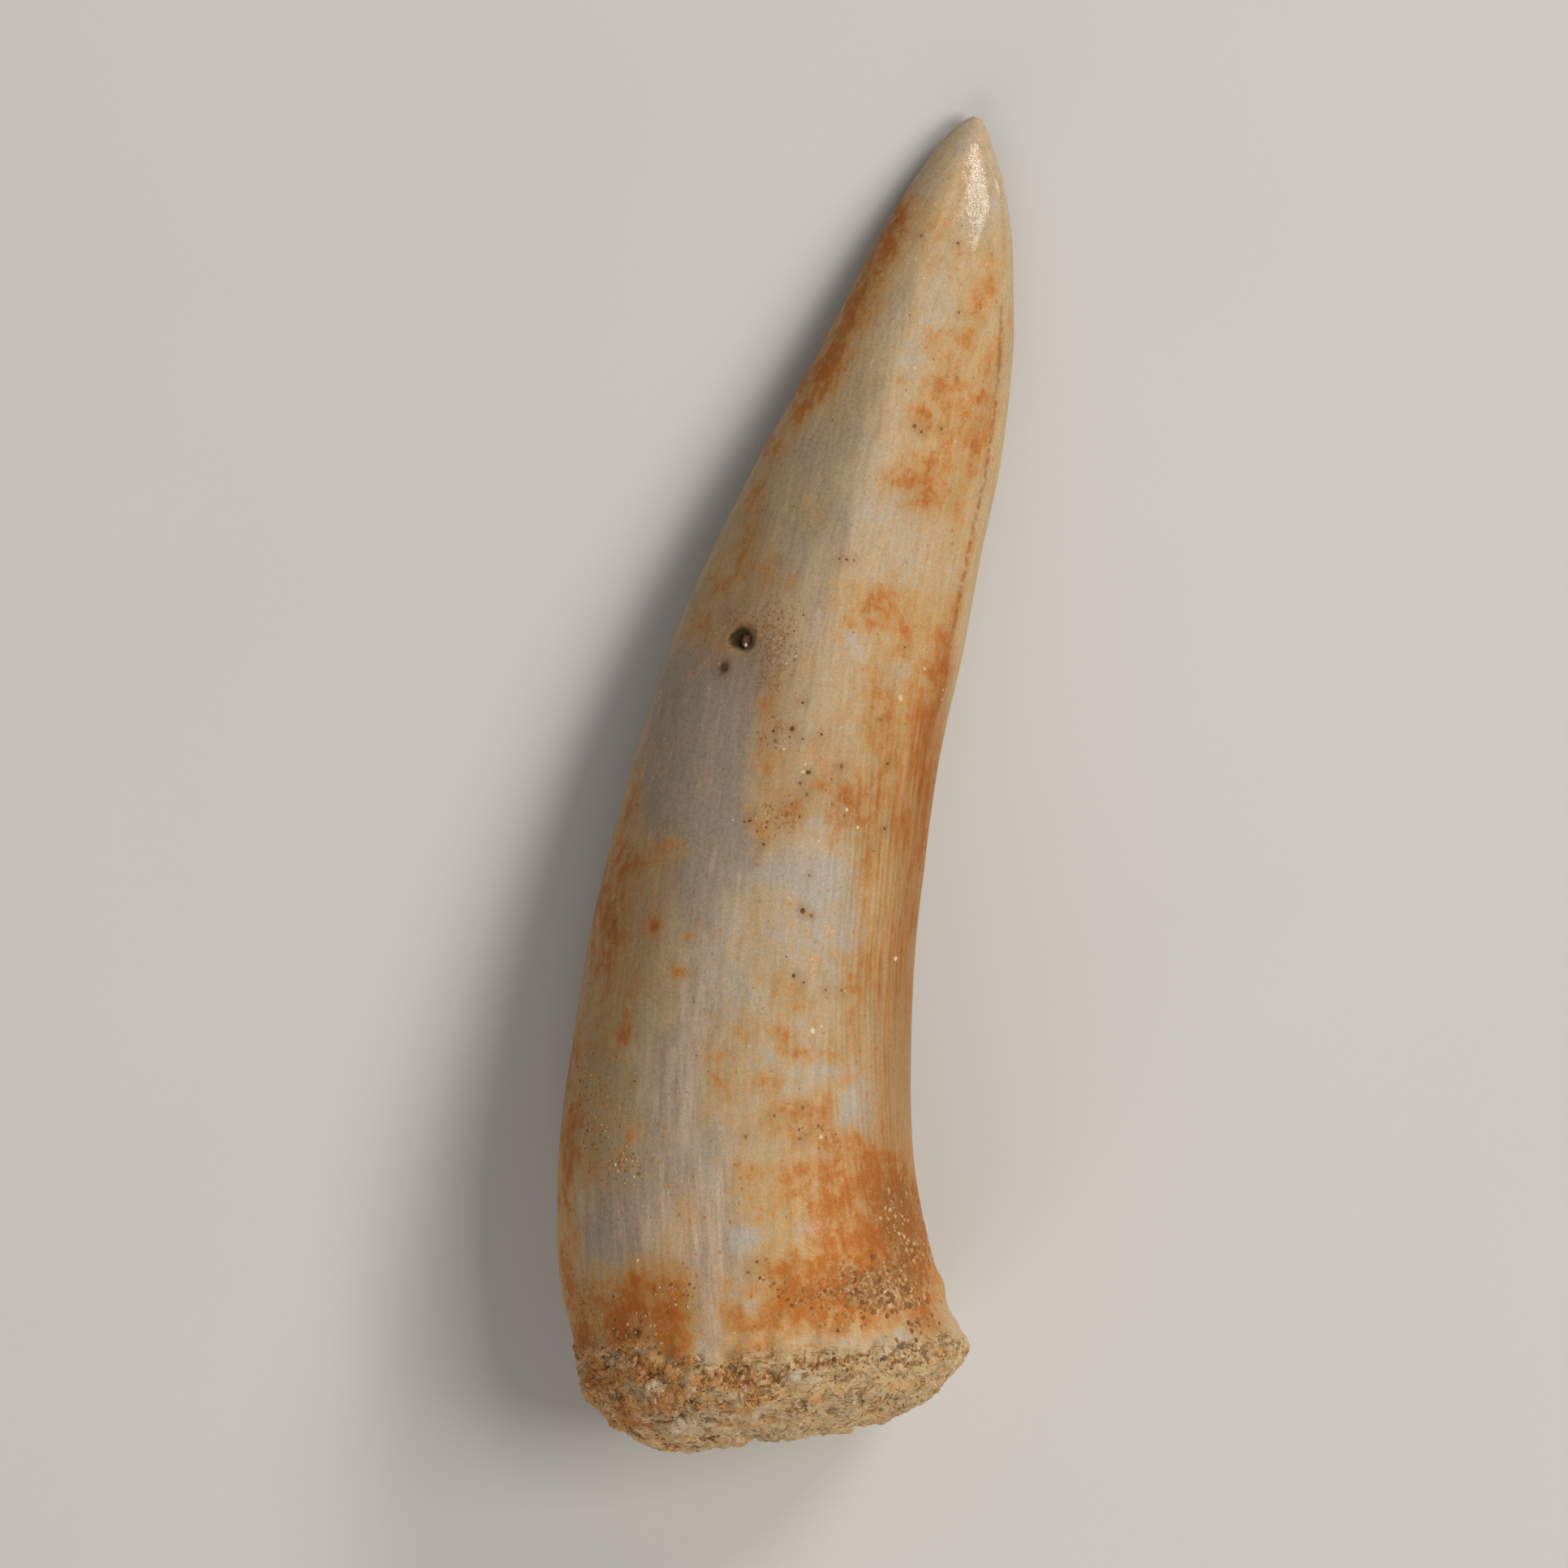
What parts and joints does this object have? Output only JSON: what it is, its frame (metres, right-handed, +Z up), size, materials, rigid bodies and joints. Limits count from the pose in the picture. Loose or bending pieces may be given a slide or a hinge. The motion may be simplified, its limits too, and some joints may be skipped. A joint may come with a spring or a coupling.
{
  "type": "fossil enchodus fang",
  "caption": "Curved fossil fish fang lying on its flatter side: keeled, ridged crown, fluted flank, and rough flared bone at the base.",
  "frame": {"origin": "middle of the fang's bounding box, on the surface that the fang lies on", "axes": "+Y from the base to the tip along the fang's length, +Z up through its thickness, +X towards the keeled, hollow side of the curve"},
  "size_m": [0.0134, 0.042, 0.0093],
  "materials": {
    "stained_enameloid": "satin cream enameloid with orange-brown iron stain, rougher and sandy at the base"
  },
  "bodies": {
    "root": {"fang": "stained_enameloid"}
  },
  "joints": []
}
